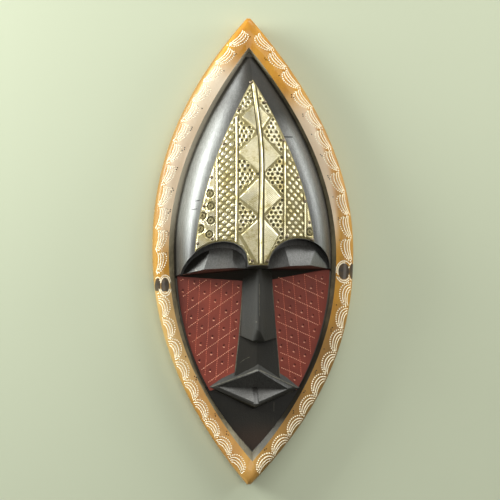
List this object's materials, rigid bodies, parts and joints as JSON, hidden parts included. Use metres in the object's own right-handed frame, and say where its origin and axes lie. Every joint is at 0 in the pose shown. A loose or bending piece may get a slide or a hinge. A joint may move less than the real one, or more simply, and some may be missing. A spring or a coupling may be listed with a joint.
{
  "type": "carved wooden wall mask",
  "caption": "Long leaf-shaped carved wooden face mask with a rounded rim, hollowed back, faceted eyelids, nose and mouth, and an embossed brass sheet nailed to its forehead.",
  "frame": {"origin": "on the back plane the mask lies on, under the middle of its outline", "axes": "+Z the way the face looks, +Y from the chin to the crown, +X to the viewer's right"},
  "size_m": [0.156, 0.36, 0.0517],
  "materials": {
    "carved_wood": "black and dark red satin paint, ochre rim with pale cut marks",
    "brass_plate": "hammered and embossed, dulled",
    "nail_metal": "small dull steel heads"
  },
  "bodies": {
    "root": {"carved_wood": "carved_wood", "brass_forehead_plate": "brass_plate", "nail_01": "nail_metal", "nail_02": "nail_metal", "nail_03": "nail_metal", "nail_04": "nail_metal", "nail_05": "nail_metal", "nail_06": "nail_metal", "nail_07": "nail_metal", "nail_08": "nail_metal", "nail_09": "nail_metal", "nail_10": "nail_metal", "nail_11": "nail_metal", "nail_12": "nail_metal", "nail_13": "nail_metal", "nail_14": "nail_metal", "nail_15": "nail_metal", "nail_16": "nail_metal"}
  },
  "joints": []
}
